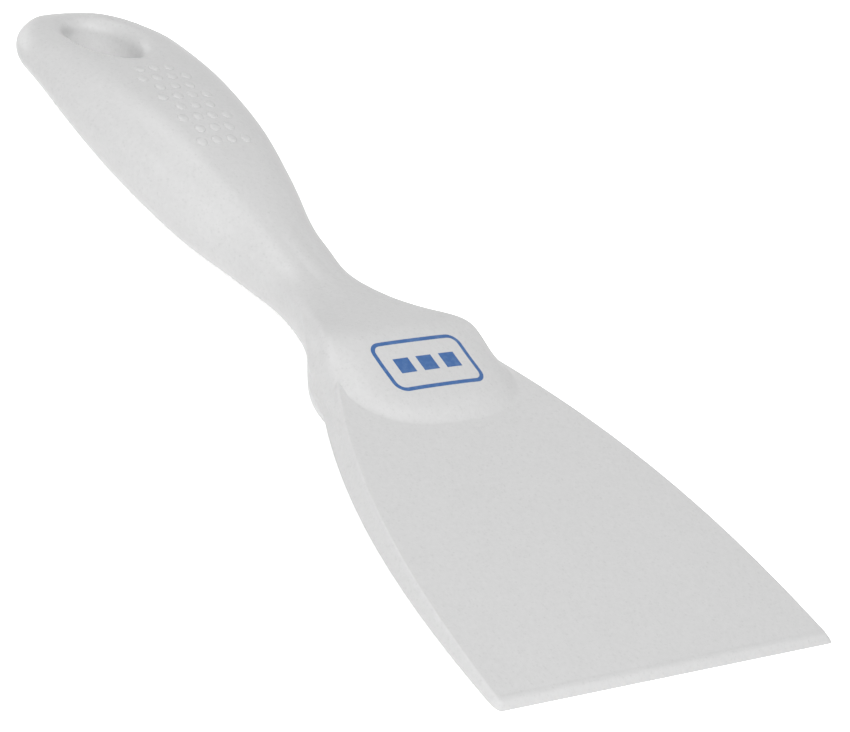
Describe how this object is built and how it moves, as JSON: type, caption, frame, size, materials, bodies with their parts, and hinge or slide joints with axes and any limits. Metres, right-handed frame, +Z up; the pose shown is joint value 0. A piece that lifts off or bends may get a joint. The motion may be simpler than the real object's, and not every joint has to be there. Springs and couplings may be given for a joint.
{
  "type": "hand scraper",
  "caption": "Flat hand scraper with a tapered bevelled blade, a moulded grip with a pad over the blade's root, and an oval hanging hole in its end.",
  "frame": {"origin": "centre of the bounding box on the surface that the tool lies on", "axes": "+Z up, +Y from the blade's working edge towards the handle's end, +X across the blade"},
  "size_m": [0.0774, 0.1982, 0.0207],
  "materials": {
    "blade_plastic": "fine matt",
    "handle_plastic": "fine matt"
  },
  "bodies": {
    "root": {"blade": "blade_plastic", "handle": "handle_plastic"}
  },
  "joints": []
}
